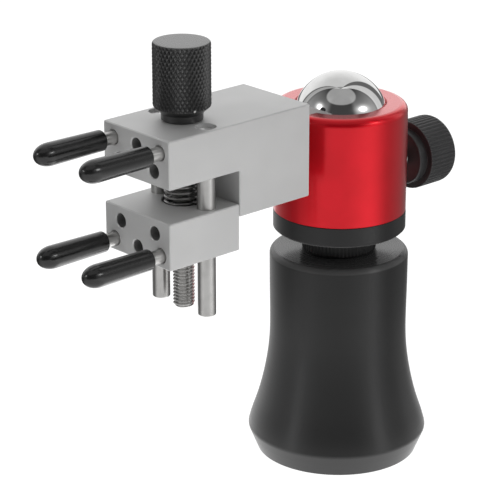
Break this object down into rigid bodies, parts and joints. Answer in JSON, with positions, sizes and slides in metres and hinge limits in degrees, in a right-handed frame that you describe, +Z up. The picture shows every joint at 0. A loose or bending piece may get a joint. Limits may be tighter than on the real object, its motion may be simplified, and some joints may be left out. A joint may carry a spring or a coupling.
{
  "type": "ball vise",
  "caption": "Ball vise: bell-shaped handle, swivelling ball head with a clamping knob, L-shaped arm and a screw-driven lower jaw on guide rods, with capped holding pins.",
  "frame": {"origin": "centre of the handle's flat bottom face", "axes": "+Z up along the handle's axis, +X along the level vise arm towards the jaws' front faces, -X towards the clamping knob of the ball head"},
  "size_m": [0.1412, 0.0526, 0.1356],
  "materials": {
    "black_anodised": "black anodised, satin",
    "red_anodised": "red anodised, satin",
    "chrome_ball": "polished chrome plate",
    "steel": "bright turned steel",
    "acetal": "white acetal",
    "brass": "plain brass",
    "moulded_black": "moulded black, matt",
    "satin_aluminium": "fine satin",
    "spring_black": "blackened spring wire",
    "vinyl_black": "glossy dipped vinyl"
  },
  "bodies": {
    "base": {"handle_body": "black_anodised", "head_stud": "steel"},
    "collar": {"neck_lock_ring": "black_anodised"},
    "head": {"base_ring": "black_anodised", "ball_housing": "red_anodised"},
    "seat": {"ball_seat": "acetal"},
    "wedge": {"wedge_plunger": "brass"},
    "lock": {"lock_screw": "steel", "lock_knob": "moulded_black"},
    "ball": {"ball_stem": "chrome_ball"},
    "arm": {"arm_body": "satin_aluminium", "guide_rod_near": "steel", "guide_rod_far": "steel", "jaw_spring": "spring_black"},
    "jaw": {"lower_jaw": "satin_aluminium"},
    "screw": {"clamp_screw": "steel", "thumb_knob": "black_anodised"},
    "pin_upper_near_set": {"pin_upper_near": "steel", "cap_upper_near": "vinyl_black"},
    "pin_upper_far_set": {"pin_upper_far": "steel", "cap_upper_far": "vinyl_black"},
    "pin_lower_near_set": {"pin_lower_near": "steel", "cap_lower_near": "vinyl_black"},
    "pin_lower_far_set": {"pin_lower_far": "steel", "cap_lower_far": "vinyl_black"}
  },
  "joints": [
    {"name": "collar_turn", "type": "hinge", "parent": "base", "child": "collar", "pos_m": [0, 0, 0.0655], "axis": [0, 0, 1], "range_deg": [-90, 0]},
    {"name": "head_turn", "type": "hinge", "parent": "base", "child": "head", "pos_m": [0, 0, 0.0689], "axis": [0, 0, 1], "continuous": true},
    {"name": "ball_tilt", "type": "hinge", "parent": "head", "child": "ball", "pos_m": [0, 0, 0.10175], "axis": [0, -1, 0], "range_deg": [0, 143]},
    {"name": "arm_roll", "type": "hinge", "parent": "ball", "child": "arm", "pos_m": [0, 0, 0.10175], "axis": [1, 0, 0], "continuous": true},
    {"name": "lock_turn", "type": "hinge", "parent": "wedge", "child": "lock", "pos_m": [-0.03, 0, 0.0844], "axis": [1, 0, 0], "range_deg": [-361, 0]},
    {"name": "wedge_slide", "type": "slide", "parent": "head", "child": "wedge", "axis": [1, 0, 0], "range_m": [-0.001, 0]},
    {"name": "seat_lift", "type": "slide", "parent": "head", "child": "seat", "axis": [0, 0, 1], "range_m": [-0.000251, 0]},
    {"name": "screw_turn", "type": "hinge", "parent": "arm", "child": "screw", "pos_m": [0.0599, 0, 0.13], "axis": [0, 0, 1], "range_deg": [-3242, 5402]},
    {"name": "jaw_slide", "type": "slide", "parent": "arm", "child": "jaw", "axis": [0, 0, 1], "range_m": [-0.015, 0.009], "deforming": ["jaw_spring"]},
    {"name": "pin_upper_near_pull", "type": "slide", "parent": "arm", "child": "pin_upper_near_set", "axis": [1, 0, 0], "range_m": [0, 0.012]},
    {"name": "pin_upper_far_pull", "type": "slide", "parent": "arm", "child": "pin_upper_far_set", "axis": [1, 0, 0], "range_m": [0, 0.012]},
    {"name": "pin_lower_near_pull", "type": "slide", "parent": "jaw", "child": "pin_lower_near_set", "axis": [1, 0, 0], "range_m": [0, 0.012]},
    {"name": "pin_lower_far_pull", "type": "slide", "parent": "jaw", "child": "pin_lower_far_set", "axis": [1, 0, 0], "range_m": [0, 0.012]}
  ],
  "couplings": [
    {"joint": "screw_turn", "follows": "jaw_slide", "rad_per_m": -6283.2},
    {"joint": "lock_turn", "follows": "wedge_slide", "rad_per_m": 6283.2},
    {"joint": "seat_lift", "follows": "wedge_slide", "ratio": 0.25}
  ]
}
